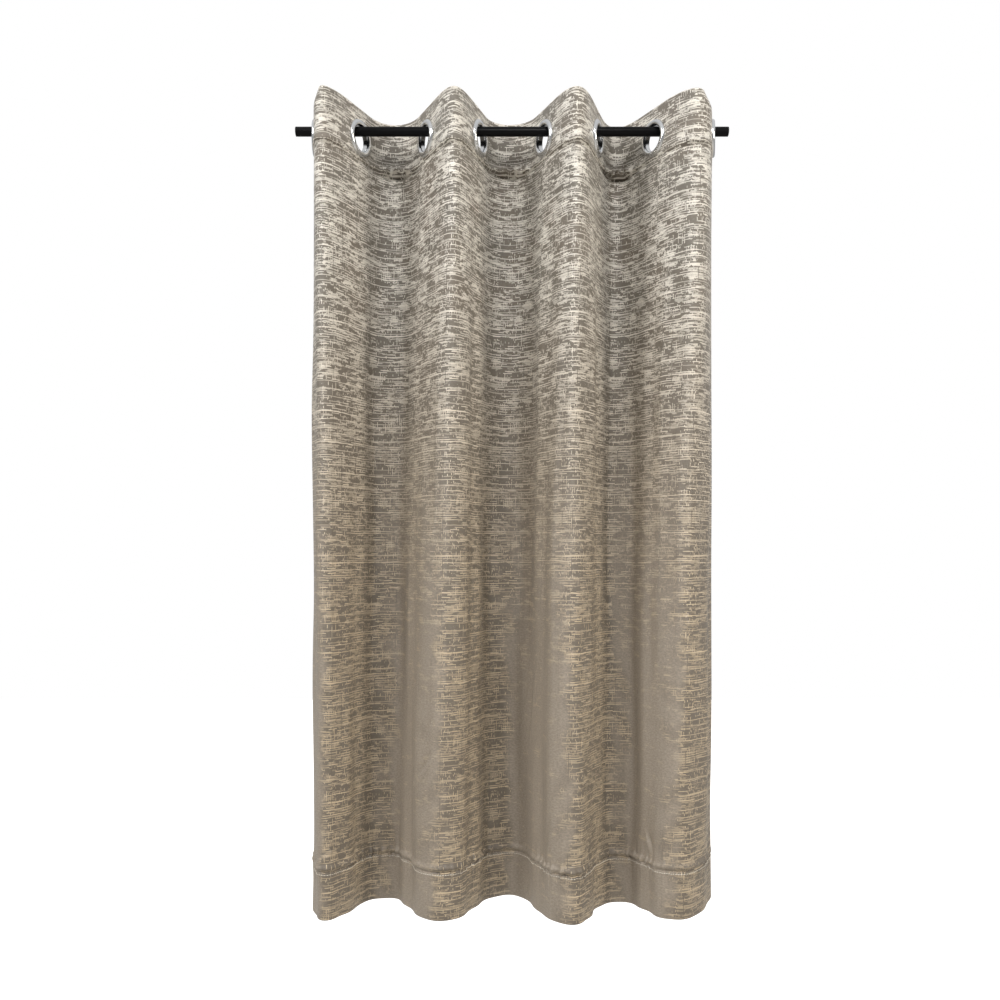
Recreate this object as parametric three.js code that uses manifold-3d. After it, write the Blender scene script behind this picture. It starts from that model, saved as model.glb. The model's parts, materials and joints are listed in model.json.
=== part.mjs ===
// Eyelet curtain panel hanging on a round rod.
// Millimetres, +Z up. X runs along the rod, -Y is the room side and +Y is the wall side.
// The origin is on the rod's axis, halfway along it.

import * as THREE from 'three';
import { mergeVertices } from 'three/addons/utils/BufferGeometryUtils.js';
import Module from 'manifold-3d';

const wasm = await Module();
wasm.setup();

// Clearance between pieces that touch on the real object
const clearance = 0.3;

// Rod
const rodDiameter = 16;
const rodWall = 1;
const rodPastLeftEyelet = 36;
const rodPastRightEyelet = 29.5;
const plugFace = 2;             // end plug's disc
const plugSpigot = 14;          // end plug's part inside the tube
const rodSegments = 32;

// Cloth, cut and sewn
const panelHeight = 1372;
const clothThickness = 0.8;
const headerDepth = 90;         // cloth turned over at the top
const hemDepth = 80;            // cloth turned up at the bottom
const sideMargin = 45;          // cloth from an end eyelet's centre to the side edge
const eyeletSpacing = 183;      // cloth from one eyelet's centre to the next
const eyeletBelowEdge = 52;     // top edge to an eyelet's centre

// Stiffening tape sewn into the header
const tapeThickness = 0.6;
const tapeWidth = 84;

// Eyelets
const eyeletBore = 42;
const eyeletWidth = 62;
const barrelWall = 1.6;
const frontRise = 5;            // ring's height above the cloth, room side
const backRise = 4;             // ring's height above the cloth, wall side
const holeEase = 1;             // cloth's hole around the barrel
const eyeletSegments = 20;
const ringSteps = 4;            // chords across a ring's rounded face

// How the panel is gathered: each eyelet's turn from the rod's direction, in degrees,
// and the pitch between neighbours as a share of the cloth between them
const eyeletTurns = [84, 66, 63, 70, 66, 71, 62, 78];
const pitchShares = [0.396, 0.634, 0.486, 0.623, 0.481, 0.541, 0.530];
const closingTurn = 18;         // degrees that each flank turns as the panel is drawn shut
const flatAroundEyelet = 2;     // flat cloth beyond an eyelet's ring
const stepsPerHalfFold = 5;

// Worked out from the values above
const rodRadius = rodDiameter / 2;
const boreRadius = eyeletBore / 2;
const ringRadius = eyeletWidth / 2;
const barrelRadius = boreRadius + barrelWall;
const stack = 2 * clothThickness + tapeThickness + 2 * clearance;
const straightRun = ringRadius + flatAroundEyelet;
const foldHalfGap = (stack / 2) * Math.tan(THREE.MathUtils.degToRad(closingTurn)) + clearance;
const halfSegment = Math.PI / eyeletSegments;
const barrelEnd = stack / 2 + clearance + 0.9 * backRise;
// A ring turned away from square to the rod hangs by the end of its barrel, which lifts it a little
const mostTilt = THREE.MathUtils.degToRad(90 - Math.min(...eyeletTurns));
const boreInside = boreRadius * Math.cos(halfSegment);
const rodCrown = rodRadius / Math.cos(mostTilt) ** 2;
const rimLift = (barrelEnd * Math.tan(mostTilt)) ** 2 / (2 * (boreInside - rodCrown));
const eyeletHeight = rodRadius + clearance + rimLift - boreInside;
const topEdge = eyeletHeight + eyeletBelowEdge;
const headerEnd = topEdge - headerDepth;
const bottomEdge = topEdge - panelHeight;

const clothMaterial = () => new THREE.MeshStandardMaterial({ color: 0x8a7c6c, roughness: 0.7, metalness: 0 });
const tapeMaterial = () => new THREE.MeshStandardMaterial({ color: 0xe8e4da, roughness: 0.9, metalness: 0 });
const eyeletMaterial = () => new THREE.MeshStandardMaterial({ color: 0xc4c4c2, roughness: 0.25, metalness: 1 });
const rodMaterial = () => new THREE.MeshStandardMaterial({ color: 0x17171a, roughness: 0.4, metalness: 0.6 });
const plugMaterial = () => new THREE.MeshStandardMaterial({ color: 0x141414, roughness: 0.55, metalness: 0 });

const panel = new THREE.Group();

function addMesh(parent, name, geometry, material) {
  const mesh = new THREE.Mesh(geometry, material);
  mesh.name = name;
  parent.add(mesh);
  return mesh;
}

// Solids for joining and cutting

function solidFrom(geometry) {
  const bare = geometry.clone();
  bare.deleteAttribute('normal');
  bare.deleteAttribute('uv');
  const merged = mergeVertices(bare, 1e-5);
  return new wasm.Manifold(new wasm.Mesh({
    numProp: 3,
    vertProperties: new Float32Array(merged.attributes.position.array),
    triVerts: new Uint32Array(merged.index.array),
  }));
}

function geometryFrom(solid) {
  const mesh = solid.getMesh();
  const geometry = new THREE.BufferGeometry();
  geometry.setAttribute('position', new THREE.BufferAttribute(mesh.vertProperties, 3));
  geometry.setIndex(new THREE.BufferAttribute(mesh.triVerts, 1));
  geometry.computeVertexNormals();
  return geometry;
}

// The value between low and high at which a rising function passes zero
function findZero(rising, low, high) {
  for (let i = 0; i < 50; i += 1) {
    const middle = (low + high) / 2;
    if (rising(middle) < 0) low = middle;
    else high = middle;
  }
  return (low + high) / 2;
}

// Eyelets' places: flanks run towards the room and back to the wall in turn

const pitches = pitchShares.map((share) => share * eyeletSpacing);
const eyeletRow = pitches.reduce((sum, pitch) => sum + pitch, 0);
const rodHalf = (rodPastLeftEyelet + eyeletRow + rodPastRightEyelet) / 2;
const firstEyelet = rodPastLeftEyelet - rodHalf;

const eyelets = eyeletTurns.map((turn, index) => {
  const before = pitches.slice(0, index).reduce((sum, pitch) => sum + pitch, 0);
  const heading = THREE.MathUtils.degToRad(index % 2 === 0 ? -turn : turn);
  return {
    centre: new THREE.Vector2(firstEyelet + before, 0),
    heading,
    along: new THREE.Vector2(Math.cos(heading), Math.sin(heading)),
  };
});

function pointPast(eyelet, distance) {
  return eyelet.centre.clone().addScaledVector(eyelet.along, distance);
}

// One fold between two eyelets, as long as the cloth between their flat stretches.
// The fold line stands halfway between the eyelets, so that the two flanks mirror each other as they turn.
function foldBetween(before, after) {
  const start = pointPast(before, straightRun);
  const end = pointPast(after, -straightRun);
  const clothLength = eyeletSpacing - 2 * straightRun;
  const curveWith = (handle) => new THREE.CubicBezierCurve(
    start,
    start.clone().addScaledVector(before.along, handle),
    end.clone().addScaledVector(after.along, -handle),
    end,
  );
  const handle = findZero((h) => curveWith(h).getLength() - clothLength, 0, clothLength);
  const curve = curveWith(handle);
  const middle = (before.centre.x + after.centre.x) / 2;
  const split = findZero((u) => curve.getPointAt(u).x - middle, 0, 1);
  return { curve, split, line: curve.getPointAt(split), gap: foldHalfGap / curve.getLength() };
}

const folds = pitches.map((pitch, index) => foldBetween(eyelets[index], eyelets[index + 1]));

// A station is a point of the cloth's mid line in plan, with its direction to the back of the cloth
function station(point, direction) {
  return { point, back: new THREE.Vector2(-direction.y, direction.x) };
}

function halfFold(fold, from, to) {
  const stations = [];
  for (let i = 0; i <= stepsPerHalfFold; i += 1) {
    const u = from + ((to - from) * i) / stepsPerHalfFold;
    stations.push(station(fold.curve.getPointAt(u), fold.curve.getTangentAt(u)));
  }
  return stations;
}

// All stations of one flank, which ends at a side edge where it has no fold
function flankStations(index) {
  const eyelet = eyelets[index];
  const before = folds[index - 1];
  const after = folds[index];
  return [
    ...(before ? halfFold(before, before.split + before.gap, 1) : [station(pointPast(eyelet, -sideMargin), eyelet.along)]),
    ...(after ? halfFold(after, 0, after.split - after.gap) : [station(pointPast(eyelet, sideMargin), eyelet.along)]),
  ];
}

// Sweeps a cross-section along the stations. It is drawn as [offset, height] points, with the offset
// counted from the front face of the stack. It is extruded straight, one step for each station,
// and each step is then laid on its station.
function sweep(crossSection, stations) {
  const shape = new THREE.Shape(crossSection.map(([offset, height]) => new THREE.Vector2(offset, height)));
  const steps = stations.length - 1;
  const geometry = new THREE.ExtrudeGeometry(shape, { depth: steps, steps, bevelEnabled: false });
  const position = geometry.attributes.position;
  for (let i = 0; i < position.count; i += 1) {
    const { point, back } = stations[Math.round(position.getZ(i))];
    const laid = point.clone().addScaledVector(back, position.getX(i) - stack / 2);
    position.setXYZ(i, laid.x, laid.y, position.getY(i));
  }
  return geometry;
}

function eyeletHole(eyelet) {
  const radius = barrelRadius + holeEase;
  const depth = 4 * stack;
  const cutter = new THREE.CylinderGeometry(
    radius, radius, depth, eyeletSegments, 1, false, halfSegment,
  );
  cutter.rotateZ(eyelet.heading);
  return solidFrom(cutter.translate(eyelet.centre.x, eyelet.centre.y, eyeletHeight));
}

// Header of one flank: the cloth turned over at the top, stitched down where the face cloth begins
function headerCloth(index) {
  const backFront = stack - clothThickness;
  const crossSection = [
    [0, headerEnd],
    [clothThickness, headerEnd],
    [clothThickness, topEdge - clothThickness],
    [backFront, topEdge - clothThickness],
    [backFront, headerEnd],
    [stack, headerEnd],
    [stack, topEdge],
    [0, topEdge],
  ];
  const cloth = solidFrom(sweep(crossSection, flankStations(index)));
  return geometryFrom(cloth.subtract(eyeletHole(eyelets[index])));
}

// Face cloth of one flank below its header, with the hem turned up behind it
function faceCloth(index) {
  const hemFront = clothThickness + clearance;
  const hemBack = hemFront + clothThickness;
  const top = headerEnd - clearance;
  const crossSection = [
    [0, bottomEdge],
    [hemBack, bottomEdge],
    [hemBack, bottomEdge + hemDepth],
    [hemFront, bottomEdge + hemDepth],
    [hemFront, bottomEdge + clothThickness],
    [clothThickness, bottomEdge + clothThickness],
    [clothThickness, top],
    [0, top],
  ];
  return sweep(crossSection, flankStations(index));
}

function headerTape(index) {
  const front = clothThickness + clearance;
  const back = front + tapeThickness;
  const top = topEdge - clothThickness - clearance;
  const crossSection = [[front, top - tapeWidth], [back, top - tapeWidth], [back, top], [front, top]];
  const tape = solidFrom(sweep(crossSection, flankStations(index)));
  return geometryFrom(tape.subtract(eyeletHole(eyelets[index])));
}

// Rounded face of a ring from its outer to its inner radius: side is -1 in front and 1 behind
function ringArc(innerRadius, rise, side) {
  const centre = (ringRadius + innerRadius) / 2;
  const half = (ringRadius - innerRadius) / 2;
  const base = stack / 2 + clearance;
  const points = [];
  for (let i = 0; i <= ringSteps; i += 1) {
    const angle = (Math.PI * i) / ringSteps;
    points.push(new THREE.Vector2(centre + half * Math.cos(angle), side * (base + rise * Math.sin(angle))));
  }
  return points;
}

function ringFrom(points) {
  return new THREE.LatheGeometry([...points, points[0].clone()], eyeletSegments, halfSegment);
}

// Room-side ring with the barrel that passes through the cloth
function eyeletFront() {
  const base = stack / 2 + clearance;
  return ringFrom([
    new THREE.Vector2(barrelRadius, barrelEnd),
    new THREE.Vector2(barrelRadius, -base),
    ...ringArc(boreRadius, frontRise, -1),
    new THREE.Vector2(boreRadius, barrelEnd),
  ].reverse());
}

// Wall-side ring that snaps on the barrel
function eyeletBack() {
  return ringFrom(ringArc(barrelRadius + clearance, backRise, 1));
}

function addFlank(index) {
  const number = index + 1;
  addMesh(panel, `face_cloth_${number}`, faceCloth(index), clothMaterial());
  addMesh(panel, `header_cloth_${number}`, headerCloth(index), clothMaterial());
  addMesh(panel, `header_tape_${number}`, headerTape(index), tapeMaterial());
  const eyelet = new THREE.Group();
  eyelet.position.set(eyelets[index].centre.x, eyelets[index].centre.y, eyeletHeight);
  eyelet.rotation.z = eyelets[index].heading;
  addMesh(eyelet, `eyelet_front_${number}`, eyeletFront(), eyeletMaterial());
  addMesh(eyelet, `eyelet_back_${number}`, eyeletBack(), eyeletMaterial());
  panel.add(eyelet);
}

// Rod: a tube with a flush plug in each end, built along +Y and turned to lie along X

function addRod() {
  const tubeHalf = rodHalf - plugFace - clearance;
  const boreOfTube = rodRadius - rodWall;
  const rod = new THREE.Group();
  rod.rotation.z = -Math.PI / 2;
  const tubeOutline = [
    new THREE.Vector2(boreOfTube, -tubeHalf),
    new THREE.Vector2(rodRadius, -tubeHalf),
    new THREE.Vector2(rodRadius, tubeHalf),
    new THREE.Vector2(boreOfTube, tubeHalf),
    new THREE.Vector2(boreOfTube, -tubeHalf),
  ];
  addMesh(rod, 'rod_tube', new THREE.LatheGeometry(tubeOutline, rodSegments), rodMaterial());
  const spigotRadius = boreOfTube - clearance;
  const plugOutline = [
    new THREE.Vector2(0, -plugFace - plugSpigot),
    new THREE.Vector2(spigotRadius, -plugFace - plugSpigot),
    new THREE.Vector2(spigotRadius, -plugFace),
    new THREE.Vector2(rodRadius, -plugFace),
    new THREE.Vector2(rodRadius, 0),
    new THREE.Vector2(0, 0),
  ];
  ['left', 'right'].forEach((side) => {
    const plug = addMesh(rod, `rod_plug_${side}`, new THREE.LatheGeometry(plugOutline, rodSegments), plugMaterial());
    plug.position.y = side === 'left' ? -rodHalf : rodHalf;
    if (side === 'left') plug.rotation.z = Math.PI;
  });
  panel.add(rod);
}

addRod();
eyelets.forEach((eyelet, index) => addFlank(index));

// The vertical fold lines that the flanks turn about, for the motion
panel.userData.foldLines = folds.map((fold) => fold.line.toArray());
panel.userData.eyeletRow = eyelets.map((eyelet) => eyelet.centre.x);

export default panel;
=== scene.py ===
import bpy
import json
import math
import numpy as np
from mathutils import Matrix, Vector


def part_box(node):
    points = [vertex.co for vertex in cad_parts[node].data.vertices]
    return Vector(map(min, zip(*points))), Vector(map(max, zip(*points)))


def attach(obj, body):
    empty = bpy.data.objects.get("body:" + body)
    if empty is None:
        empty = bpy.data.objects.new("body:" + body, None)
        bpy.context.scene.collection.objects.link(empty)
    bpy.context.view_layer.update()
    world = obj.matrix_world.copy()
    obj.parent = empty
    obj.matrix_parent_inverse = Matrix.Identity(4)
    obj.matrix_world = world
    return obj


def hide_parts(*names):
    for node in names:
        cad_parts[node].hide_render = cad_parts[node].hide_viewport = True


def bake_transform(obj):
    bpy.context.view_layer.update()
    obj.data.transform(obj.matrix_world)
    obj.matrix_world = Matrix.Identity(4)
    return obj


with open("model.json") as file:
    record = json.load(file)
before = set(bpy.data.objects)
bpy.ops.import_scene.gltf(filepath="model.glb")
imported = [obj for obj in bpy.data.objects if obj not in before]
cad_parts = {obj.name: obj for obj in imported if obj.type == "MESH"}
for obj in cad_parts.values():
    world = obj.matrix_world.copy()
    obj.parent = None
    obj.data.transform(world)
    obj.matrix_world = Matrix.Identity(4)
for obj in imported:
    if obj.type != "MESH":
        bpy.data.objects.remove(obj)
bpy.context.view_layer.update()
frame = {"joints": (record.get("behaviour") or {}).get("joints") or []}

scene = bpy.context.scene
print("frame loaded")


# small helpers

def deselect():
    if bpy.context.object and bpy.context.object.mode != "OBJECT":
        bpy.ops.object.mode_set(mode="OBJECT")
    bpy.ops.object.select_all(action="DESELECT")


def pick(piece):
    deselect()
    piece.select_set(True)
    bpy.context.view_layer.objects.active = piece


def settle(piece):
    # puts the piece's place into its mesh
    pick(piece)
    bpy.ops.object.transform_apply(location=True, rotation=True, scale=True)


def applyModifiers(piece):
    pick(piece)
    for modifier in list(piece.modifiers):
        bpy.ops.object.modifier_apply(modifier=modifier.name)


def smoothBy(piece, degrees):
    pick(piece)
    bpy.ops.object.shade_smooth_by_angle(angle=math.radians(degrees))


# camera, light and floor

camera = {"side": -0.0206, "height": -0.717, "distance": 1.595, "lens": 33.5, "shift": 0.05}
lights = [
    # name, place, aims at, width, height, power, colour
    ("keyFront", (0.25, -2.8, 1.3), (0.0, 0.0, -0.30), 0.8, 0.9, 50, (1.0, 0.985, 0.955)),
    ("sideLeft", (-2.2, -1.6, 1.1), (0.0, 0.0, -0.40), 0.7, 1.1, 56, (1.0, 0.99, 0.97)),
    ("fillRight", (2.4, -1.5, 0.2), (0.0, 0.0, -0.5), 0.7, 1.2, 38, (1.0, 0.93, 0.82)),
]
studio = {"strength": 0.75, "low": 0.20, "high": 0.95, "fromSlope": -0.6, "toSlope": 0.7}
floor = {"height": -2.1, "size": 14.0, "colour": (0.55, 0.53, 0.50, 1), "glow": 1.0}


def makeCamera():
    bpy.ops.object.camera_add(
        location=(camera["side"], -camera["distance"], camera["height"]), rotation=(math.pi / 2, 0, 0))
    cam = bpy.context.object
    cam.name = "camera"
    cam.data.sensor_width = 36
    cam.data.lens = camera["lens"]
    cam.data.shift_y = camera["shift"]
    scene.camera = cam


def makeLights():
    for name, place, aim, width, height, power, colour in lights:
        deselect()
        bpy.ops.object.light_add(type="AREA", location=place)
        light = bpy.context.object
        light.name = name
        light.rotation_euler = (Vector(aim) - Vector(place)).to_track_quat("-Z", "Y").to_euler()
        light.data.shape = "RECTANGLE"
        light.data.size = width
        light.data.size_y = height
        light.data.energy = power
        light.data.color = colour
    world = bpy.data.worlds.new("studio")
    scene.world = world
    world.use_nodes = True
    nodes, links = world.node_tree.nodes, world.node_tree.links
    seen = nodes["Background"]
    seen.inputs["Color"].default_value = (1, 1, 1, 1)
    shade = nodes.new("ShaderNodeBackground")
    shade.inputs["Strength"].default_value = studio["strength"]
    up = nodes.new("ShaderNodeSeparateXYZ")
    ramp = nodes.new("ShaderNodeMapRange")
    ramp.inputs["From Min"].default_value = studio["fromSlope"]
    ramp.inputs["From Max"].default_value = studio["toSlope"]
    ramp.inputs["To Min"].default_value = studio["low"]
    ramp.inputs["To Max"].default_value = studio["high"]
    links.new(nodes.new("ShaderNodeTexCoord").outputs["Generated"], up.inputs[0])
    links.new(up.outputs[2], ramp.inputs["Value"])
    links.new(ramp.outputs["Result"], shade.inputs["Color"])
    path = nodes.new("ShaderNodeLightPath")
    mix = nodes.new("ShaderNodeMixShader")
    links.new(path.outputs["Is Camera Ray"], mix.inputs[0])
    links.new(shade.outputs[0], mix.inputs[1])
    links.new(seen.outputs[0], mix.inputs[2])
    links.new(mix.outputs[0], nodes["World Output"].inputs["Surface"])


def makeFloor():
    # pale to the camera, with little light thrown back up at the cloth
    deselect()
    bpy.ops.mesh.primitive_plane_add(size=floor["size"], location=(0, 0, floor["height"]))
    plane = bpy.context.object
    plane.name = "floor"
    settle(plane)
    paint = bpy.data.materials.new("floorPaint")
    paint.use_nodes = True
    nodes, links = paint.node_tree.nodes, paint.node_tree.links
    shader = nodes["Principled BSDF"]
    shader.inputs["Base Color"].default_value = floor["colour"]
    shader.inputs["Roughness"].default_value = 0.9
    shader.inputs["Emission Color"].default_value = (1, 1, 1, 1)
    glow = nodes.new("ShaderNodeMath")
    glow.operation = "MULTIPLY"
    glow.inputs[1].default_value = floor["glow"]
    links.new(nodes.new("ShaderNodeLightPath").outputs["Is Camera Ray"], glow.inputs[0])
    links.new(glow.outputs[0], shader.inputs["Emission Strength"])
    plane.data.materials.append(paint)


scene.view_settings.view_transform = "Standard"
makeCamera()
makeLights()
makeFloor()
print("camera, light and floor")


# materials

class Weave:
    # a few shorthands for building a material's nodes
    def __init__(self, name):
        self.material = bpy.data.materials.new(name)
        self.material.use_nodes = True
        self.nodes = self.material.node_tree.nodes
        self.links = self.material.node_tree.links
        self.shader = self.nodes["Principled BSDF"]

    def put(self, value, socket):
        if isinstance(value, bpy.types.NodeSocket):
            self.links.new(value, socket)
        else:
            socket.default_value = value

    def math(self, operation, *values):
        node = self.nodes.new("ShaderNodeMath")
        node.operation = operation
        for value, socket in zip(values, node.inputs):
            self.put(value, socket)
        return node.outputs[0]

    def join(self, x, y):
        node = self.nodes.new("ShaderNodeCombineXYZ")
        self.put(x, node.inputs[0])
        self.put(y, node.inputs[1])
        return node.outputs[0]

    def chance(self, x, y):
        # one random value for each pair of whole numbers
        node = self.nodes.new("ShaderNodeTexWhiteNoise")
        node.noise_dimensions = "2D"
        self.put(self.join(x, y), node.inputs["Vector"])
        return node.outputs["Value"]

    def noise(self, vector, scale, detail=2.0, roughness=0.5):
        node = self.nodes.new("ShaderNodeTexNoise")
        self.put(vector, node.inputs["Vector"])
        node.inputs["Scale"].default_value = scale
        node.inputs["Detail"].default_value = detail
        node.inputs["Roughness"].default_value = roughness
        return node.outputs["Fac"]

    def band(self, value, low, high):
        # 0 below low, 1 above high
        node = self.nodes.new("ShaderNodeMapRange")
        node.interpolation_type = "SMOOTHSTEP"
        self.put(value, node.inputs["Value"])
        self.put(low, node.inputs["From Min"])
        self.put(high, node.inputs["From Max"])
        return node.outputs["Result"]

    def mix(self, share, first, second):
        node = self.nodes.new("ShaderNodeMix")
        node.data_type = "RGBA"
        self.put(share, node.inputs[0])
        self.put(first, node.inputs[6])
        self.put(second, node.inputs[7])
        return node.outputs[2]

    def bump(self, height, distance, strength=1.0):
        node = self.nodes.new("ShaderNodeBump")
        node.inputs["Strength"].default_value = strength
        node.inputs["Distance"].default_value = distance
        self.put(height, node.inputs["Height"])
        self.links.new(node.outputs[0], self.shader.inputs["Normal"])


jacquard = {
    "ground": (0.165, 0.138, 0.106, 1),     # taupe yarn
    "cool": (0.152, 0.136, 0.110, 1),       # greener taupe
    "paintedShadeGround": (0.132, 0.106, 0.076, 1),  # painted shade: the ground darker low on the panel
    "paintedSatinSheen": (0.385, 0.325, 0.258, 1),      # painted sheen: the satin face with its bright sheen painted in, where the figure attribute is low
    "litIvoryWeft": (0.88, 0.84, 0.76, 1),         # painted light: the weft as lit near the top
    "shadedGoldWeft": (0.66, 0.525, 0.350, 1),        # painted shade: the same weft, shaded and golden low on the panel
    "dark": (0.085, 0.068, 0.050, 1),       # shade between the yarns
    "repeatWide": 0.385,
    "repeatTall": 0.400,
    "row": 0.0015,                          # height of a weft row in the figure
    "roughness": 0.38,
    "gloss": 0.85,
    "sheen": 0.12,
    "sheenRoughness": 0.4,
    "sheenTint": (1.0, 0.96, 0.9, 1),
    "thread": 0.0007,                       # pitch of the warp and the weft
    "relief": 0.00030,                      # depth of the threads and slubs
}


def dashes(weave, along, across, pitch, length, share, fill, seed):
    # broken lines: rows a pitch apart, cut to dashes, a share of them shown, each of its own brightness
    scaled = weave.math("DIVIDE", across, pitch)
    row = weave.math("FLOOR", scaled)
    inRow = weave.math("FRACT", scaled)
    start = weave.math("MULTIPLY", weave.chance(row, seed), 7.0)
    cell = weave.math("FLOOR", weave.math("ADD", weave.math("DIVIDE", along, length), start))
    mark = weave.math("ADD", row, seed * 31.0)
    edge = weave.math("SUBTRACT", 1.0, share)
    shown = weave.band(weave.chance(cell, mark), edge, weave.math("ADD", edge, 0.02))
    bright = weave.math("MULTIPLY_ADD", weave.chance(mark, cell), 0.65, 0.35)
    rise = weave.band(inRow, 0.0, fill * 0.35)
    drop = weave.band(inRow, fill, fill * 0.65)
    shape = weave.math("MULTIPLY", rise, drop)
    return weave.math("MULTIPLY", weave.math("MULTIPLY", shown, bright), shape)


def makeCloth(name, contrast):
    weave = Weave(name)
    uv = weave.nodes.new("ShaderNodeUVMap")
    uv.uv_map = "cloth"
    split = weave.nodes.new("ShaderNodeSeparateXYZ")
    weave.links.new(uv.outputs[0], split.inputs[0])
    wide, tall = split.outputs[0], split.outputs[1]
    # the figure attribute: how much of the figure the painted sheen leaves
    strength = weave.nodes.new("ShaderNodeAttribute")
    strength.attribute_name = "figure"
    wobble = weave.math("MULTIPLY_ADD", weave.noise(uv.outputs[0], 35.0, 1.0), 0.0030, -0.0015)
    u = weave.math("WRAP", wide, jacquard["repeatWide"], 0.0)
    v = weave.math("WRAP", weave.math("ADD", tall, wobble), jacquard["repeatTall"], 0.0)
    stretched = weave.join(weave.math("MULTIPLY", u, 0.5), v)
    busy = weave.band(weave.noise(stretched, 30.0, 2.0, 0.6), 0.40, 0.60)
    hatched = weave.band(weave.noise(stretched, 47.0, 2.0, 0.5), 0.45, 0.60)
    shine = weave.band(weave.noise(uv.outputs[0], 11.0, 2.0), 0.35, 0.65)
    row = weave.math("FLOOR", weave.math("DIVIDE", v, jacquard["row"]))
    shifted = weave.math("MULTIPLY_ADD", weave.chance(row, 9.0), 0.004, u)
    longer = weave.math("MULTIPLY", shifted, 0.20)
    rowPlace = weave.join(longer, weave.math("MULTIPLY", row, jacquard["row"]))
    edge = weave.math("MULTIPLY_ADD", busy, -0.11, 0.588)
    patches = weave.band(weave.noise(rowPlace, 210.0, 3.0, 0.72), edge, weave.math("ADD", edge, 0.035))

    # each with its pitch, length, share shown, fill of the row and seed
    weft = dashes(weave, u, v, 0.0040, 0.017, weave.math("MULTIPLY_ADD", busy, 0.25, 0.30), 0.45, 1.0)
    long = dashes(weave, u, v, 0.0125, 0.105, 0.75, 0.14, 3.0)
    double = dashes(weave, u, weave.math("ADD", v, 0.0034), 0.0250, 0.080, 0.50, 0.060, 4.0)
    ticks = dashes(weave, v, u, 0.0040, 0.0085, weave.math("MULTIPLY", hatched, 0.42), 0.35, 5.0)
    flecks = dashes(weave, v, u, 0.0023, 0.0035, 0.10, 0.7, 6.0)
    posts = dashes(weave, v, u, 0.0220, 0.026, 0.40, 0.060, 7.0)
    scratches = dashes(weave, v, u, 0.0030, 0.010, weave.math("MULTIPLY", hatched, 0.30), 0.34, 8.0)

    slub = weave.band(weave.noise(weave.join(u, v), 620.0, 2.0, 0.7), 0.28, 0.55)
    # painted shade: lower grows down the panel, dimming the patches and darkening the ground
    lower = weave.band(tall, 0.12, 0.75)
    rowLight = weave.math("MULTIPLY_ADD", weave.chance(row, 11.0), 0.50, 0.48)
    solid = weave.math("MULTIPLY", patches, rowLight)
    solid = weave.math("MULTIPLY", solid, weave.math("MULTIPLY_ADD", slub, 0.45, 0.50))
    light = weave.math("MULTIPLY", solid, weave.math("MULTIPLY_ADD", lower, -0.55, 1.0))
    for layer in (weft, long, double, ticks, flecks):
        light = weave.math("MAXIMUM", light, layer)
    light = weave.math("MULTIPLY", light, weave.math("SUBTRACT", 1.0, posts))
    figure = weave.math("MULTIPLY", strength.outputs["Fac"], contrast)
    # the figure breaks up into patches where the painted sheen covers it
    cut = weave.math("MULTIPLY_ADD", figure, -0.50, 0.64)
    flattened = weave.join(weave.math("MULTIPLY", wide, 0.45), tall)
    island = weave.noise(flattened, 75.0, 2.0, 0.6)
    kept = weave.band(island, cut, weave.math("ADD", cut, 0.14))
    kept = weave.math("MULTIPLY", kept, weave.math("MULTIPLY_ADD", figure, 0.55, 0.45))
    light = weave.math("MULTIPLY", light, kept)
    shadow = weave.math("MAXIMUM", posts, weave.math("MULTIPLY", scratches, 0.8))
    shadow = weave.math("MULTIPLY", shadow, figure)

    base = weave.mix(shine, jacquard["ground"], jacquard["cool"])
    base = weave.mix(lower, base, jacquard["paintedShadeGround"])
    # painted sheen: the satin colour where the figure attribute is low
    base = weave.mix(weave.math("SUBTRACT", 1.0, figure), base, jacquard["paintedSatinSheen"])
    grain = weave.band(weave.noise(flattened, 420.0, 2.0, 0.75), 0.36, 0.64)
    base = weave.mix(weave.math("MULTIPLY", grain, 0.36), base, jacquard["dark"])
    base = weave.mix(shadow, base, jacquard["dark"])
    # painted light: the weft turns from lit ivory near the top to shaded gold lower down
    bright = weave.mix(weave.band(tall, 0.15, 0.95), jacquard["litIvoryWeft"], jacquard["shadedGoldWeft"])
    colour = weave.mix(light, base, bright)
    weave.put(colour, weave.shader.inputs["Base Color"])
    rough = weave.math("MULTIPLY_ADD", light, -0.12, jacquard["roughness"])
    weave.put(rough, weave.shader.inputs["Roughness"])
    weave.shader.inputs["Sheen Weight"].default_value = jacquard["sheen"]
    weave.shader.inputs["Sheen Roughness"].default_value = jacquard["sheenRoughness"]
    weave.shader.inputs["Sheen Tint"].default_value = jacquard["sheenTint"]
    weave.shader.inputs["Specular IOR Level"].default_value = jacquard["gloss"]

    warpThread = weave.math("SINE", weave.math("MULTIPLY", wide, 2 * math.pi / jacquard["thread"]))
    weftThread = weave.math("SINE", weave.math("MULTIPLY", tall, 2 * math.pi / jacquard["thread"]))
    threads = weave.math("MULTIPLY", weave.math("ADD", warpThread, weftThread), 0.22)
    slubs = weave.noise(weave.join(weave.math("MULTIPLY", wide, 0.25), tall), 700.0, 1.0)
    weave.bump(weave.math("ADD", threads, slubs), jacquard["relief"], 0.8)
    return weave.material


def makePlain(name, colour, roughness, metallic=0.0, grain=0.0, grainSize=900.0, gloss=0.5):
    # an even finish with a fine grain in its roughness and bump
    weave = Weave(name)
    place = weave.nodes.new("ShaderNodeTexCoord").outputs["Object"]
    speck = weave.noise(place, grainSize, 3.0)
    weave.shader.inputs["Base Color"].default_value = colour
    weave.shader.inputs["Metallic"].default_value = metallic
    weave.shader.inputs["Specular IOR Level"].default_value = gloss
    weave.put(weave.math("MULTIPLY_ADD", weave.noise(place, 60.0, 3.0), 0.12, roughness - 0.06),
              weave.shader.inputs["Roughness"])
    if grain:
        weave.bump(speck, grain)
    return weave.material


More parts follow.
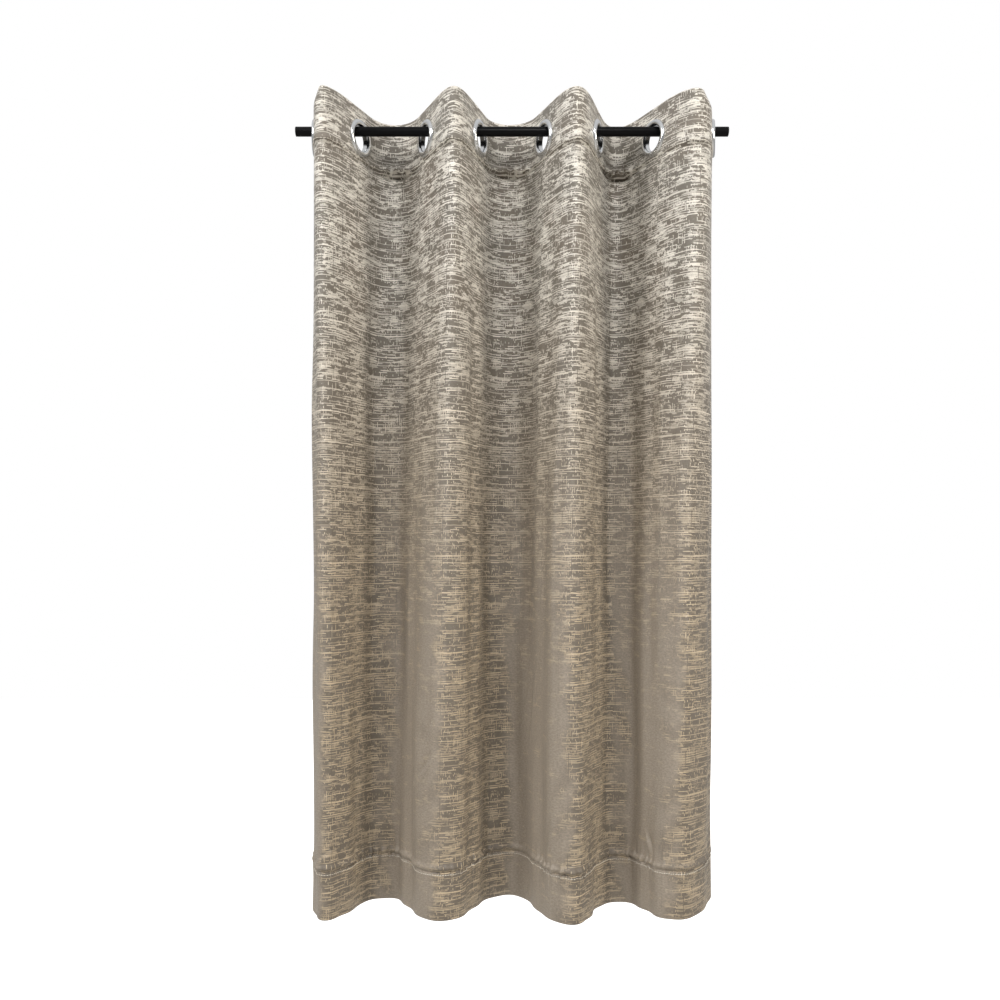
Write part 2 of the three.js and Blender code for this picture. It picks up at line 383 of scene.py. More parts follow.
clothFace = makeCloth("jacquardFace", 1.0)
clothBack = makeCloth("jacquardBack", 0.45)
tapeFinish = makePlain("headerTape", (0.80, 0.78, 0.72, 1), 0.85, grain=0.0002)
# the thread's pale colour is partly its own and partly painted highlight, standing in for glints along
# the seams
threadFinish = makePlain("sewingThread", (0.80, 0.75, 0.66, 1), 0.40, grain=0.0001, grainSize=3000.0)
ringFinish = makePlain("polishedRing", (0.72, 0.73, 0.74, 1), 0.16, metallic=1.0)
rodFinish = makePlain("satinBlackRod", (0.004, 0.004, 0.0045, 1), 0.33, grain=0.00002, gloss=0.08)
plugFinish = makePlain("blackPlug", (0.005, 0.005, 0.005, 1), 0.5, grain=0.00005, gloss=0.2)
print("materials")


# how the cloth hangs, in plan

hang = {
    "spacing": 0.183,           # cloth between neighbouring eyelets
    "margin": 0.045,            # cloth from an end eyelet to its side edge
    "straight": 0.033,          # flat cloth each side of an eyelet's centre
    "turns": (84, 66, 63, 70, 66, 71, 62, 78),  # degrees from the rod, each ring the other way
    # at the hem: each fold line's place, room side negative
    "hemFolds": ((-0.318, -0.040), (-0.227, 0.058), (-0.124, -0.044), (-0.007, 0.072),
                 (0.093, -0.060), (0.183, 0.038), (0.276, -0.040)),
    # how far along the cloth a fold line has strayed at the hem
    "hemDrift": (0.0, -0.008, -0.008, 0.006, 0.016, 0.010, 0.0),
    "hemEdges": ((-0.3460, 0.078, -84), (0.356, 0.081, 80)),  # place, and heading in degrees
    "edgeHandle": 0.06,         # how far a side edge keeps its heading
    "firstHandle": 0.022,       # the first and last fold's handles towards the edges
    "lastHandle": 0.030,
    "foldReach": 0.60,          # how far a fold's handle reaches across to its neighbour
}
joints = {joint["name"]: joint for joint in frame["joints"]}
foldX = [joints[f"fold_{k}"]["pos_m"][0] for k in range(1, 8)]
eyeletX = [joints["draw_shut"]["pos_m"][0]]
for middle in foldX:
    eyeletX.append(2 * middle - eyeletX[-1])
ringLow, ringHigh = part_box("eyelet_front_1")
eyeletZ = (ringLow[2] + ringHigh[2]) / 2
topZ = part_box("header_cloth_1")[1][2]
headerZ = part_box("header_cloth_1")[0][2]
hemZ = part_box("face_cloth_1")[0][2]
headings = [math.radians(-t if k % 2 == 0 else t) for k, t in enumerate(hang["turns"])]
eyeletS = [hang["margin"] + hang["spacing"] * k for k in range(8)]
clothWidth = eyeletS[-1] + hang["margin"]


def bezier(p0, p1, p2, p3, count=200):
    t = np.linspace(0, 1, count)[:, None]
    p0, p1, p2, p3 = (np.array(p, float) for p in (p0, p1, p2, p3))
    return (1 - t) ** 3 * p0 + 3 * t * (1 - t) ** 2 * p1 + 3 * t ** 2 * (1 - t) * p2 + t ** 3 * p3


def lengthOf(line):
    return np.linalg.norm(np.diff(line, axis=0), axis=1).sum()


def walk(line, start, end, s):
    # points of the line at the cloth lengths s, which run from start to end along it
    run = np.concatenate([[0], np.cumsum(np.linalg.norm(np.diff(line, axis=0), axis=1))])
    run = start + (end - start) * run / run[-1]
    return np.stack([np.interp(s, run, line[:, 0]), np.interp(s, run, line[:, 1])], axis=1)


def topPlan(s):
    out = np.zeros((len(s), 2))
    dirs = [np.array([math.cos(h), math.sin(h)]) for h in headings]
    centres = [np.array([x, 0.0]) for x in eyeletX]
    reach = hang["straight"]
    for k in range(8):
        before = hang["margin"] if k == 0 else reach
        after = hang["margin"] if k == 7 else reach
        here = (s >= eyeletS[k] - before - 1e-9) & (s <= eyeletS[k] + after + 1e-9)
        out[here] = centres[k] + dirs[k] * (s[here] - eyeletS[k])[:, None]
    for k in range(7):
        p0, p3 = centres[k] + dirs[k] * reach, centres[k + 1] - dirs[k + 1] * reach
        low, high = 0.0, 0.2
        for _ in range(30):
            h = (low + high) / 2
            line = bezier(p0, p0 + dirs[k] * h, p3 - dirs[k + 1] * h, p3)
            if lengthOf(line) < hang["spacing"] - 2 * reach:
                low = h
            else:
                high = h
        start, end = eyeletS[k] + reach, eyeletS[k + 1] - reach
        here = (s > start) & (s < end)
        out[here] = walk(line, start, end, s[here])
    return out


def hemPlan(s):
    folds = hang["hemFolds"]
    edges = hang["hemEdges"]
    handle = hang["edgeHandle"]
    middles = [(eyeletS[k] + eyeletS[k + 1]) / 2 + hang["hemDrift"][k] for k in range(7)]
    marks = [0.0] + middles + [clothWidth]
    points = [edges[0][:2]] + list(folds) + [edges[1][:2]]
    out = np.zeros((len(s), 2))
    for k in range(8):
        (x0, y0), (x1, y1) = points[k], points[k + 1]
        reach = hang["foldReach"] * (x1 - x0)
        p1, p2 = (x0 + reach, y0), (x1 - reach, y1)
        if k == 0:
            turn = math.radians(edges[0][2])
            p1 = (x0 + handle * math.cos(turn), y0 + handle * math.sin(turn))
            p2 = (x1 - hang["firstHandle"], y1)
        if k == 7:
            turn = math.radians(edges[1][2])
            p1 = (x0 + hang["lastHandle"], y0)
            p2 = (x1 - handle * math.cos(turn), y1 - handle * math.sin(turn))
        line = bezier((x0, y0), p1, p2, (x1, y1))
        here = (s >= marks[k] - 1e-9) & (s <= marks[k + 1] + 1e-9)
        out[here] = walk(line, marks[k], marks[k + 1], s[here])
    return out


# the cloth's surface

drape = {
    "columns": 68,              # between two eyelets
    "ripple": 0.0012,           # soft waves over the whole face
    "seed": 7,
    "hemSeam": 0.080,           # above the bottom edge
    "headerLip": 0.0130,        # how far the header's edge bulges over its seam in a valley
    "pinch": 0.0090,            # how far the cloth draws in under the header, in a valley
    "pinchReach": (0.030, 0.020),  # its reach along the cloth, at a ridge and in a valley
    "valleyReach": 0.036,       # reach along the cloth of the header's bulge
    "pucker": 0.0030,           # small gathers along the hem's seam
    "puckerWaves": (0.0165, 0.0094),
    "puckerFade": 0.013,        # how far they run out above and below
    "lip": 0.0046,              # how far the face cloth bulges over the hem's seam
    "lipPlace": 0.0070,         # height of both bulges above their seams
    "groove": 0.0026,           # half width of the line that a seam presses in
    "sideFade": 0.06,           # where the hem's bulges die out at a side edge
    # small creases: place along the cloth, height, length, lean and depth
    "dents": ((0.455, -1.086, 0.028, 0.85, 0.0095), (1.160, -1.215, 0.016, -1.00, 0.0060),
              (0.470, -1.020, 0.030, 1.10, 0.0030), (0.840, -1.190, 0.030, 1.20, 0.0035),
              (0.130, -1.230, 0.028, 0.50, 0.0030), (0.760, -0.980, 0.050, 1.45, 0.0030),
              (1.020, -1.120, 0.040, -1.30, 0.0030), (0.300, -0.900, 0.060, 1.50, 0.0025)),
    "dentWidth": 0.007,
    "topLean": 0.011,           # how far the two ends lean in above their rings
    "leanHeights": (0.017, 0.044),
    "leanEnds": (0.09, 0.15),
}
hemSeamZ = hemZ + drape["hemSeam"]


def smoothedHem(step=0.0005, sigma=0.010):
    # the hem's plan with its tight bends eased
    s = np.linspace(0, clothWidth, round(clothWidth / step) + 1)
    line = hemPlan(s)
    reach = round(3 * sigma / step)
    kernel = np.exp(-0.5 * (np.arange(-reach, reach + 1) * step / sigma) ** 2)
    kernel /= kernel.sum()
    before = 2 * line[0] - line[reach:0:-1]
    after = 2 * line[-1] - line[-2:-reach - 2:-1]
    padded = np.concatenate([before, line, after])
    return s, np.stack([np.convolve(padded[:, k], kernel, "valid") for k in range(2)], axis=1)


hemLine = smoothedHem()


def smoothstep(value, low, high):
    t = np.clip((value - low) / (high - low), 0, 1)
    return t * t * (3 - 2 * t)


def bell(value, width):
    return np.exp(-(value / width) ** 2)


def seamDetail(s, z):
    # how far the cloth is drawn towards the wall by its seams, rows x columns
    s, z = s[None], z[:, None]
    drawn = np.zeros((z.shape[0], s.shape[1]))
    below = headerZ - z
    for k in range(7):
        valley = k % 2
        fold = (eyeletS[k] + eyeletS[k + 1]) / 2
        deep = drape["pinch"] if valley else 0.35 * drape["pinch"]
        onset = smoothstep(below, -0.001, 0.004) * np.exp(-np.clip(below, 0, 1) / 0.022)
        near = bell(s - fold - 0.004 * math.sin(3.0 * k), drape["pinchReach"][valley])
        drawn += deep * near * onset
        swell = 0.55 + 0.45 * np.sin(s * 2 * math.pi / 0.023 + 2.0 * k)
        near = bell(s - fold, drape["valleyReach"]) * (1.0 if valley else 0.3)
        drawn -= drape["headerLip"] * swell * near * bell(z - headerZ - drape["lipPlace"], 0.0050)
        drawn += 0.60 * drape["headerLip"] * near * bell(z - headerZ + 0.0015, 0.0040)
    drawn += 0.0020 * bell(z - headerZ, drape["groove"])
    seam = z - hemSeamZ
    drawn += 0.0024 * bell(seam, drape["groove"])
    lip = 0.55 + 0.45 * np.sin(s * 47.0 + 1.0) * np.sin(s * 19.0)
    inner = smoothstep(s, 0.0, drape["sideFade"]) * smoothstep(clothWidth - s, 0.0, drape["sideFade"])
    drawn -= drape["lip"] * inner * lip * bell(seam - drape["lipPlace"], 0.0045)
    wide = drape["dentWidth"]
    for place, height, length, lean, depth in drape["dents"]:
        along = (s - place) * math.cos(lean) + (z - height) * math.sin(lean)
        across = (z - height) * math.cos(lean) - (s - place) * math.sin(lean)
        drawn += depth * bell(along, length) * (across / wide) * bell(across, wide)
    long, short = drape["puckerWaves"]
    wander = s + 0.003 * np.sin(s * 61.0) + 0.0015 * np.sin(s * 173.0)
    pucker = np.sin(wander * 2 * math.pi / long) + 0.6 * np.sin(wander * 2 * math.pi / short + 1.0)
    strength = drape["pucker"] * inner * (0.55 + 0.45 * np.sin(s * 23.0 + 0.7))
    fade = np.exp(-np.abs(seam) / drape["puckerFade"])
    drawn += strength * pucker * fade * np.where(seam > 0, 1.0, 0.7)
    return drawn


def surfaceAt(s, z):
    # the plan of the hanging cloth at each height z, for the cloth lengths s: rows x columns x 2
    top = topPlan(s)
    hem = np.stack([np.interp(s, hemLine[0], hemLine[1][:, k]) for k in range(2)], axis=1)
    t = np.clip((headerZ - z) / (headerZ - hemZ), 0, 1)
    share = (t ** 1.6 / (t ** 1.6 + 0.35 * (1 - t)))[:, None, None]
    return (1 - share) * top[None] + share * hem[None]


def directions(plan, s):
    along = np.gradient(plan, s, axis=1)
    along /= np.linalg.norm(along, axis=2, keepdims=True)
    return np.stack([-along[:, :, 1], along[:, :, 0]], axis=2)


def ripples(s, z):
    t = np.clip((headerZ - z) / (headerZ - hemZ), 0, 1)
    free = smoothstep(t, 0.02, 0.35)[:, None]
    rng = np.random.default_rng(drape["seed"])
    ripple = np.zeros((len(z), len(s)))
    for _ in range(7):
        wave = rng.uniform(0.055, 0.14)
        lean = rng.uniform(-0.25, 0.25)
        phase = rng.uniform(0, 2 * math.pi)
        strong = rng.uniform(0.4, 1.0)
        ripple += np.sin(2 * math.pi * (s[None] + lean * z[:, None]) / wave + phase) * strong
    return ripple * drape["ripple"] * free


# the cloth falls: a coarse sheet of the true flat width, held by its header and lightly by its drawn
# shape, settles under gravity

fall = {
    "columns": 150, "rows": 128, "frames": 28,
    "hold": 0.10,               # how firmly the cloth below the header keeps to its drawn place
    "quality": 6, "mass": 0.12, "stiffness": 25, "shear": 8, "bending": 2.5, "airDamping": 3,
    "most": 0.016,              # the most that a point may move
}


def simulateFall():
    s = np.linspace(0, clothWidth, fall["columns"] + 1)
    z = np.linspace(topZ, hemZ, fall["rows"] + 1)
    plan = surfaceAt(s, z)
    plan = plan + directions(plan, s) * ripples(s, z)[:, :, None]
    places = np.dstack([plan, np.repeat(z[:, None], len(s), axis=1)])
    number = np.arange(len(s) * len(z)).reshape(len(z), len(s))
    corners = [number[:-1, :-1], number[1:, :-1], number[1:, 1:], number[:-1, 1:]]
    mesh = bpy.data.meshes.new("fallingSheet")
    faces = np.stack([c.ravel() for c in corners], axis=1)
    mesh.from_pydata(places.reshape(-1, 3).tolist(), [], faces.tolist())
    sheet = bpy.data.objects.new("fallingSheet", mesh)
    scene.collection.objects.link(sheet)
    pick(sheet)
    bpy.ops.object.shape_key_add(from_mix=False)
    bpy.ops.object.shape_key_add(from_mix=False)
    flat = np.stack(np.meshgrid(s, z), axis=2)
    rest = np.dstack([flat[:, :, 0], np.zeros(flat.shape[:2]), flat[:, :, 1]])
    flatKey = sheet.data.shape_keys.key_blocks[1]
    flatKey.data.foreach_set("co", rest.ravel())
    flatKey.value = 0
    hold = sheet.vertex_groups.new(name="hold")
    for row in range(len(z)):
        weight = 1.0 if z[row] > headerZ else fall["hold"]
        hold.add(number[row].tolist(), weight, "REPLACE")
    cloth = sheet.modifiers.new("cloth", "CLOTH")
    settings = cloth.settings
    settings.vertex_group_mass = "hold"
    settings.rest_shape_key = flatKey
    settings.quality = fall["quality"]
    settings.mass = fall["mass"]
    settings.tension_stiffness = settings.compression_stiffness = fall["stiffness"]
    settings.shear_stiffness = fall["shear"]
    settings.bending_stiffness = fall["bending"]
    settings.air_damping = fall["airDamping"]
    cloth.collision_settings.use_collision = False
    cloth.point_cache.frame_start = 1
    cloth.point_cache.frame_end = fall["frames"]
    for moment in range(1, fall["frames"] + 1):
        scene.frame_set(moment)
    graph = bpy.context.evaluated_depsgraph_get()
    settled = sheet.evaluated_get(graph).to_mesh()
    moved = np.zeros(len(settled.vertices) * 3)
    settled.vertices.foreach_get("co", moved)
    moved = moved.reshape(places.shape) - places
    sheet.evaluated_get(graph).to_mesh_clear()
    bpy.data.objects.remove(sheet)
    scene.frame_set(1)
    far = np.linalg.norm(moved, axis=2, keepdims=True)
    most, mean = (round(value * 1000, 1) for value in (far.max(), far.mean()))
    print("cloth fell by at most", most, "mm, on average", mean)
    return s, z, moved * np.minimum(1, fall["most"] / np.maximum(far, 1e-9))


fallS, fallZ, fallMove = simulateFall()


def fallAt(s, z):
    # the settled sheet's movement at the fine grid's columns and rows
    column = np.interp(s, fallS, np.arange(len(fallS)))
    row = np.interp(-z, -fallZ, np.arange(len(fallZ)))
    c0 = np.minimum(column.astype(int), len(fallS) - 2)
    r0 = np.minimum(row.astype(int), len(fallZ) - 2)
    fc, fr = (column - c0)[None, :, None], (row - r0)[:, None, None]
    upper = fallMove[r0][:, c0] * (1 - fc) + fallMove[r0][:, c0 + 1] * fc
    lower = fallMove[r0 + 1][:, c0] * (1 - fc) + fallMove[r0 + 1][:, c0 + 1] * fc
    return upper * (1 - fr) + lower * fr


def clothAt(s, z, offset):
    # places of the sheet's points, with offset counted to the wall side from the stack's middle
    plan = surfaceAt(s, z)
    plan = plan + directions(plan, s) * ripples(s, z)[:, :, None]
    move = fallAt(s, z)
    plan = plan + move[:, :, :2]
    above = smoothstep(z, *drape["leanHeights"])[:, None]
    near, far = drape["leanEnds"]
    ends = 1 - smoothstep(s, near, far) - smoothstep(s, clothWidth - far, clothWidth - near)
    plan[:, :, 0] += drape["topLean"] * above * ends[None]
    back = directions(plan, s)
    height = np.repeat(z[:, None], len(s), axis=1) + move[:, :, 2]
    plan = plan + back * (seamDetail(s, z) + offset[:, None])[:, :, None]
    return np.dstack([plan, height]), back


# the sheet runs from the header's inner edge over the top, down the face and up the hem:
# each row has a height, an offset from the stack's middle and its length along the cloth
layers = {
    "front": -0.0010, "headerBack": 0.0010, "hemBack": 0.0001, "tape": 0.0,
    "cloth": 0.0008, "stiffener": 0.0006,   # thicknesses
    "hole": 0.0242,                         # radius cut for an eyelet's barrel
    "sideTurn": 0.025,                      # cloth turned in along each side
    "sideCloth": 0.0007,                    # its thickness
    "sideRoll": 0.0004,                     # how far the turned edge stands out
    "cutLength": 1.542,                     # drop, header and hem
    "topTurn": 0.0014,                      # where the top's and the hem's turns begin
    "hemTurn": 0.0009,
    "tapeTop": 0.0022,                      # the tape's edges, below the top
    "tapeLow": 0.085,
}


def sheetRows():
    rows = []
    topTurn, hemTurn = topZ - layers["topTurn"], hemZ + layers["hemTurn"]
    for z in np.linspace(headerZ, topTurn, 20):
        rows.append((z, layers["headerBack"]))
    for angle in np.linspace(0, math.pi, 7)[1:-1]:
        rows.append((topTurn + 0.0010 * math.sin(angle), 0.0010 * math.cos(angle)))
    # rows are closest together at the two seams
    stops = (topTurn, headerZ + 0.008, headerZ - 0.018, hemSeamZ + 0.016, hemSeamZ - 0.012, hemTurn)
    counts = (18, 18, 200, 20, 14)
    for high, low, count in zip(stops, stops[1:], counts):
        for z in np.linspace(high, low, count, endpoint=False):
            rows.append((z, layers["front"]))
    rows.append((hemTurn, layers["front"]))
    for angle in np.linspace(0, math.pi, 6)[1:-1]:
        rows.append((hemTurn - 0.0005 * math.sin(angle), -0.00045 - 0.00055 * math.cos(angle)))
    for z in np.linspace(hemTurn, hemSeamZ, 18):
        rows.append((z, layers["hemBack"]))
    rows = np.array(rows)
    length = np.concatenate([[0], np.cumsum(np.hypot(np.diff(rows[:, 0]), np.diff(rows[:, 1])))])
    first = np.argmax(rows[:, 1] < 0)
    return rows[:, 0], rows[:, 1], length - length[first]


def gridPiece(name, xyz, uv, figure, hole=None):
    # a sheet from a grid of points; faces with a corner where hole is below 0 are left out
    rowCount, colCount = xyz.shape[:2]
    number = np.arange(rowCount * colCount).reshape(rowCount, colCount)
    corners = [number[:-1, :-1], number[1:, :-1], number[1:, 1:], number[:-1, 1:]]
    faces = np.stack([c.ravel() for c in corners], axis=1)
    if hole is not None:
        faces = faces[~(hole.ravel()[faces] < 0).any(axis=1)]
    mesh = bpy.data.meshes.new(name)
    mesh.from_pydata(xyz.reshape(-1, 3).tolist(), [], faces.tolist())
    layer = mesh.uv_layers.new(name="cloth")
    loops = np.zeros(len(mesh.loops), int)
    mesh.loops.foreach_get("vertex_index", loops)
    layer.data.foreach_set("uv", uv.reshape(-1, 2)[loops].ravel())
    shown = mesh.attributes.new("figure", "FLOAT", "POINT")
    shown.data.foreach_set("value", figure.ravel().astype(np.float32))
    piece = bpy.data.objects.new(name, mesh)
    scene.collection.objects.link(piece)
    pick(piece)
    bpy.ops.object.mode_set(mode="EDIT")
    bpy.ops.mesh.select_mode(type="VERT")
    bpy.ops.mesh.select_all(action="DESELECT")
    bpy.ops.mesh.select_loose()
    bpy.ops.mesh.delete(type="VERT")
    bpy.ops.object.mode_set(mode="OBJECT")
    return piece


def thicken(piece, thickness, backSlot):
    thick = piece.modifiers.new("thickness", "SOLIDIFY")
    thick.thickness = thickness
    thick.offset = 0
    thick.material_offset = backSlot
    applyModifiers(piece)
    smoothBy(piece, 60)


# painted sheen: how far a painted satin sheen washes out the woven figure low on the panel, most in
# valleys and on left-facing flanks
paintedSheen = {"from": 0.30, "to": 1.05, "least": 0.05, "more": 0.76, "facing": (-0.42, 0.62), "patchy": 0.34}


def figureUnderPaintedSheen(xyz, back, z):
    low = smoothstep(-z, paintedSheen["from"], paintedSheen["to"])[:, None]
    facing = back[:, :, 0] + 0.15 * xyz[:, :, 1] / 0.06
    x, height = xyz[:, :, 0], xyz[:, :, 2]
    patches = np.sin(62 * x + 2.5 * np.sin(19 * height)) * np.sin(47 * height + 2.0 * np.sin(31 * x))
    sheenFlank = smoothstep(facing + paintedSheen["patchy"] * patches, *paintedSheen["facing"])
    return 1 - low * (paintedSheen["least"] + paintedSheen["more"] * sheenFlank)


def addLayer(piece, extra):
    pick(piece)
    extra.select_set(True)
    bpy.ops.object.join()


stitch = {
    "pitch": 0.0050, "long": 0.0038, "thick": 0.00070,
    "fromEdge": 0.0042,         # distance from the seam
    "lie": 0.00042,             # the thread's underside, from the middle of the face cloth
    "arch": 0.00030,            # how far it stands up in the middle
}


def makeStitches(name, start, end):
    # short threads lying along the header's seam and the hem's seam
    verts, faces = [], []
    count = round((end - start) / stitch["pitch"])
    centres = start + (np.arange(count) + 0.5) * (end - start) / count
    for seam in (headerZ + stitch["fromEdge"], hemSeamZ - stitch["fromEdge"]):
        half = stitch["long"] / 2
        s = np.stack([centres - half, centres, centres + half], axis=1).ravel()
        places, back = clothAt(s, np.array([seam]), np.array([layers["front"] - stitch["lie"]]))
        places, back = places[0], back[0]
        for k in range(count):
            first = len(verts)
            for j, (wide, out) in enumerate(((0.5, 0.0), (1.0, stitch["arch"]), (0.5, 0.0))):
                x, y, z = places[3 * k + j]
                bx, by = back[3 * k + j]
                for dz in (-0.5, 0.5):
                    for lift in (0.0, 1.0):
                        shift = -(out + lift * stitch["thick"])
                        verts.append((x + bx * shift, y + by * shift, z + dz * wide * stitch["thick"]))
            for j in (0, 4):
                a = first + j
                faces += [(a, a + 4, a + 5, a + 1), (a + 3, a + 7, a + 6, a + 2),
                          (a + 1, a + 5, a + 7, a + 3), (a + 2, a + 6, a + 4, a)]
            faces += [(first, first + 1, first + 3, first + 2),
                      (first + 10, first + 11, first + 9, first + 8)]
    mesh = bpy.data.meshes.new(name)
    mesh.from_pydata(verts, [], faces)
    mesh.uv_layers.new(name="cloth")
    mesh.attributes.new("figure", "FLOAT", "POINT")
    piece = bpy.data.objects.new(name, mesh)
    scene.collection.objects.link(piece)
    piece.data.materials.append(threadFinish)
    pick(piece)
    bpy.ops.object.mode_set(mode="EDIT")
    bpy.ops.mesh.select_all(action="SELECT")
    bpy.ops.mesh.normals_make_consistent(inside=False)
    bpy.ops.object.mode_set(mode="OBJECT")
    bpy.ops.object.shade_smooth()
    return piece


def eyeletGap(s, z):
    # each point's distance outside the cloth's holes, negative inside one
    gap = np.ones((len(z), len(s)))
    for centre in eyeletS:
        gap = np.minimum(gap, np.hypot(s[None] - centre, z[:, None] - eyeletZ) - layers["hole"])
    return gap


def clothPiece(name, index):
    # the cloth from eyelet index - 1 to eyelet index; 0 and 8 are the side margins
    start = 0.0 if index == 0 else eyeletS[index - 1]
    end = clothWidth if index == 8 else eyeletS[index]
    count = max(8, round(drape["columns"] * (end - start) / hang["spacing"]))
    s = np.linspace(start, end, count + 1)
    z, offset, v = sheetRows()
    xyz, back = clothAt(s, z, offset)
    uv = np.dstack([np.repeat(s[None], len(z), axis=0), np.repeat(v[:, None], len(s), axis=1)])
    # the figure attribute holds the share of the figure left under the painted sheen
    piece = gridPiece(name, xyz, uv, figureUnderPaintedSheen(xyz, back, z), eyeletGap(s, z))
    for finish in (clothFace, clothBack):
        piece.data.materials.append(finish)
    thicken(piece, layers["cloth"], 1)

    z = np.linspace(topZ - layers["tapeTop"], topZ - layers["tapeLow"], 16)
    xyz, back = clothAt(s, z, np.full(len(z), layers["tape"]))
    uv = np.dstack([np.repeat(s[None], len(z), axis=0), np.repeat(-z[:, None], len(s), axis=1)])
    tape = gridPiece(name + "_tape", xyz, uv, np.ones(xyz.shape[:2]), eyeletGap(s, z))
    tape.data.materials.append(tapeFinish)
    thicken(tape, layers["stiffener"], 0)
    addLayer(piece, tape)
    addLayer(piece, makeStitches(name + "_stitches", start, end))
    return piece


def sideHem(side):
    # the cloth turned in behind a side edge, between the hem and the header
    roll = layers["sideRoll"]
    inner = np.linspace(layers["sideTurn"], 0, 9)
    s = np.concatenate([inner, [-roll, -0.0005, -roll]])
    if side == "right":
        s = clothWidth - s
    turn = np.concatenate([np.full(9, layers["hemBack"]), [0.0, -roll, -0.0008]])
    z = np.linspace(headerZ - 0.002, hemSeamZ + 0.002, 150)
    flatS = np.clip(s, 0, clothWidth)
    line = np.unique(np.round(flatS, 7))
    places, back = clothAt(line, z, np.zeros(len(z)))
    column = np.searchsorted(line, np.round(flatS, 7))
    places, back = places[:, column], back[:, column]
    along = np.stack([back[:, :, 1], -back[:, :, 0]], axis=2)
    past = (s - flatS)[None, :, None]
    places[:, :, :2] += back * turn[None, :, None] + along * past
    uv = np.dstack([np.repeat(flatS[None], len(z), axis=0), np.repeat(-z[:, None], len(s), axis=1)])
    piece = gridPiece(f"side_hem_{side}", places, uv, np.ones(places.shape[:2]) * 0.6)
    piece.data.materials.append(clothBack)
    thicken(piece, layers["sideCloth"], 0)
    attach(piece, "flank_1" if side == "left" else "flank_8")
    return piece


def makePanel():
    pieces = []
    names = {0: "cloth_left_edge", 8: "cloth_right_edge"}
    for index in range(9):
        name = names.get(index, f"cloth_fold_{index}")
        piece = clothPiece(name, index)
        extras = []
        if index in (0, 8):
            flank = 1 if index == 0 else 8
            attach(piece, f"flank_{flank}")
            extras = [sideHem("left" if index == 0 else "right")]
            flanks = (flank,)
        else:
            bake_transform(piece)
            flanks = (index, index + 1)
        for flank in flanks:
            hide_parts(f"face_cloth_{flank}", f"header_cloth_{flank}", f"header_tape_{flank}")
        pieces.append(piece)
    return pieces


# rod

rod = {"segments": 96, "bevel": 0.0004, "wall": 0.001}
endPlug = {"face": 0.002, "skirt": 0.0067, "depth": 0.0138, "bevel": 0.0005}


def makeRod():
    low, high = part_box("rod_tube")
    radius = (high[2] - low[2]) / 2
    deselect()
    bpy.ops.mesh.primitive_cylinder_add(vertices=rod["segments"], radius=radius, depth=high[0] - low[0],
                                        end_fill_type="NOTHING", rotation=(0, math.pi / 2, 0))
    tube = bpy.context.object
    tube.name = "rod_painted_tube"
    settle(tube)
    wall = tube.modifiers.new("wall", "SOLIDIFY")
    wall.thickness = rod["wall"]
    wall.offset = -1
    edge = tube.modifiers.new("edge", "BEVEL")
    edge.width = rod["bevel"]
    edge.segments = 3
    edge.limit_method = "ANGLE"
    applyModifiers(tube)
    tube.data.materials.append(rodFinish)
    smoothBy(tube, 30)
    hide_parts("rod_tube")
    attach(tube, "rod")
    for side in ("left", "right"):
        node = f"rod_plug_{side}"
        low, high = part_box(node)
        sign = -1 if side == "left" else 1
        outer = low[0] if side == "left" else high[0]
        deselect()
        bpy.ops.mesh.primitive_cylinder_add(
            vertices=rod["segments"], radius=radius, depth=endPlug["face"],
            location=(outer - sign * endPlug["face"] / 2, 0, 0), rotation=(0, math.pi / 2, 0))
        plug = bpy.context.object
        plug.name = f"rod_end_plug_{side}"
        settle(plug)
        bpy.ops.object.mode_set(mode="EDIT")
        bpy.ops.mesh.select_all(action="DESELECT")
        bpy.ops.object.mode_set(mode="OBJECT")
        for face in plug.data.polygons:
            face.select = face.normal.x * sign < -0.9
        bpy.ops.object.mode_set(mode="EDIT")
        bpy.ops.mesh.select_mode(type="FACE")
        bpy.ops.mesh.inset(thickness=radius - endPlug["skirt"])
        bpy.ops.mesh.extrude_region_move(
            TRANSFORM_OT_translate={"value": (-sign * endPlug["depth"], 0, 0)})
        bpy.ops.object.mode_set(mode="OBJECT")
        edge = plug.modifiers.new("edge", "BEVEL")
        edge.width = endPlug["bevel"]
        edge.segments = 3
        edge.limit_method = "ANGLE"
        applyModifiers(plug)
        plug.data.materials.append(plugFinish)
        smoothBy(plug, 30)
        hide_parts(node)
        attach(plug, "rod")


makeRod()
print("rod")


# eyelets

ring = {
    "bore": 0.0210, "outer": 0.0310, "wall": 0.0016, "gap": 0.0003, "halfStack": 0.0014,
    "frontRise": 0.0050, "backRise": 0.0040, "turns": 96, "arcSteps": 16,
    "barrelReach": 0.9,         # of the back washer's rise
    "chamfer": 0.0004,          # at the barrel's end
}


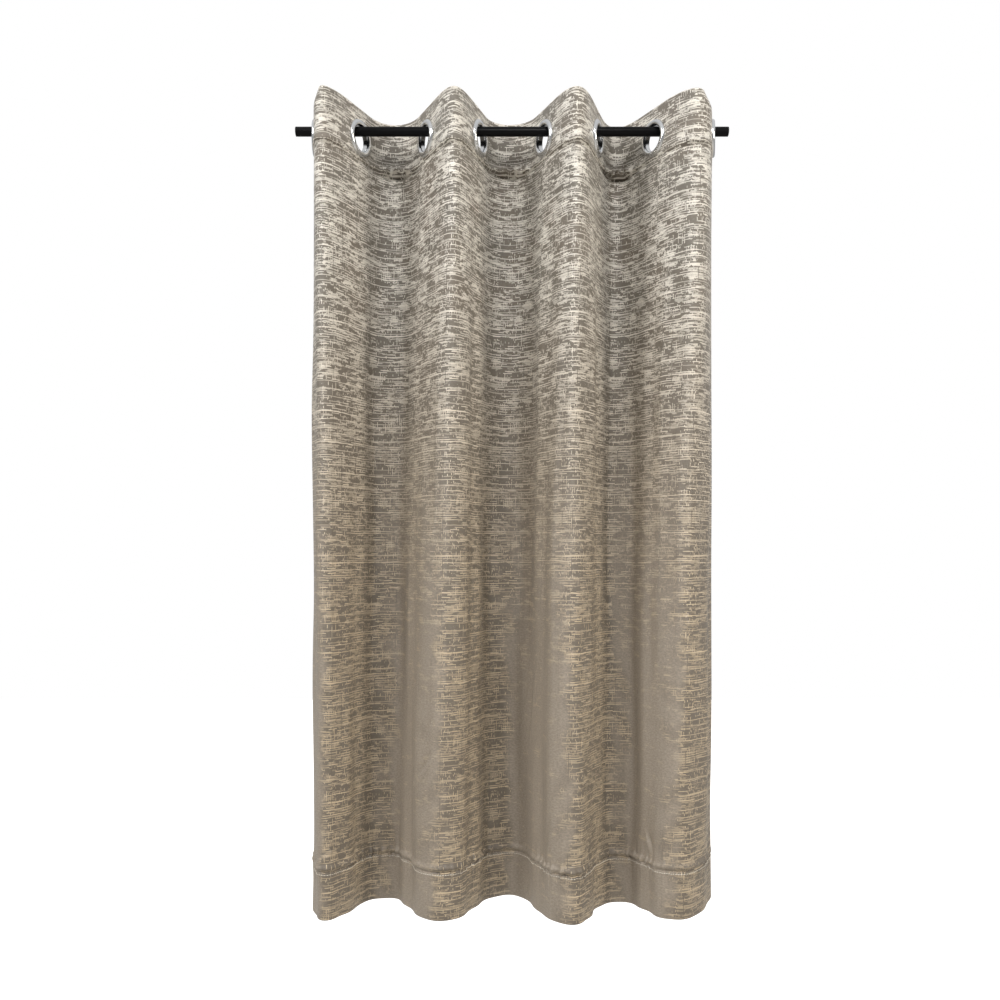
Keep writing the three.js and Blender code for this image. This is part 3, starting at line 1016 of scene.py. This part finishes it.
def spinRing(name, profile):
    # a closed outline of (radius, depth) points, spun about the eyelet's axis, which is Y
    mesh = bpy.data.meshes.new(name)
    count = len(profile)
    mesh.from_pydata([(r, y, 0) for r, y in profile], [(k, (k + 1) % count) for k in range(count)], [])
    piece = bpy.data.objects.new(name, mesh)
    scene.collection.objects.link(piece)
    pick(piece)
    bpy.ops.object.mode_set(mode="EDIT")
    bpy.ops.mesh.select_all(action="SELECT")
    bpy.ops.mesh.spin(steps=ring["turns"], angle=2 * math.pi, center=(0, 0, 0), axis=(0, 1, 0))
    bpy.ops.mesh.select_all(action="SELECT")
    bpy.ops.mesh.remove_doubles(threshold=0.00001)
    bpy.ops.mesh.normals_make_consistent(inside=False)
    bpy.ops.object.mode_set(mode="OBJECT")
    piece.data.materials.append(ringFinish)
    smoothBy(piece, 40)
    return piece


def roundedFace(inner, rise, side):
    # the ring's rolled face from its outer edge to its inner one
    centre, half = (ring["outer"] + inner) / 2, (ring["outer"] - inner) / 2
    base = ring["halfStack"] + ring["gap"]
    points = []
    for k in range(ring["arcSteps"] + 1):
        angle = math.pi * k / ring["arcSteps"]
        points.append((centre + half * math.cos(angle), side * (base + rise * math.sin(angle) ** 0.8)))
    return points


def makeEyelets():
    base = ring["halfStack"] + ring["gap"]
    barrel = ring["bore"] + ring["wall"]
    end = base + ring["barrelReach"] * ring["backRise"]
    cut = ring["chamfer"]
    front = spinRing("ringFront", [(barrel, end - cut), (barrel, -base + 0.0002)]
                     + roundedFace(ring["bore"], ring["frontRise"], -1)
                     + [(ring["bore"], end - cut), (ring["bore"] + cut, end), (barrel - cut, end)])
    back = spinRing("ringBack", roundedFace(barrel + ring["gap"], ring["backRise"], 1))
    for k in range(8):
        turn = Matrix.Translation((eyeletX[k], 0, eyeletZ)) @ Matrix.Rotation(headings[k], 4, "Z")
        for label, model in (("front", front), ("back", back)):
            piece = model.copy()
            piece.data = model.data.copy()
            piece.name = f"eyelet_{label}_ring_{k + 1}"
            scene.collection.objects.link(piece)
            piece.data.transform(turn)
            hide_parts(f"eyelet_{label}_{k + 1}")
            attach(piece, f"flank_{k + 1}")
    for model in (front, back):
        bpy.data.objects.remove(model)


makeEyelets()
print("eyelets")

panel = makePanel()
print("cloth:", len(panel), "pieces")
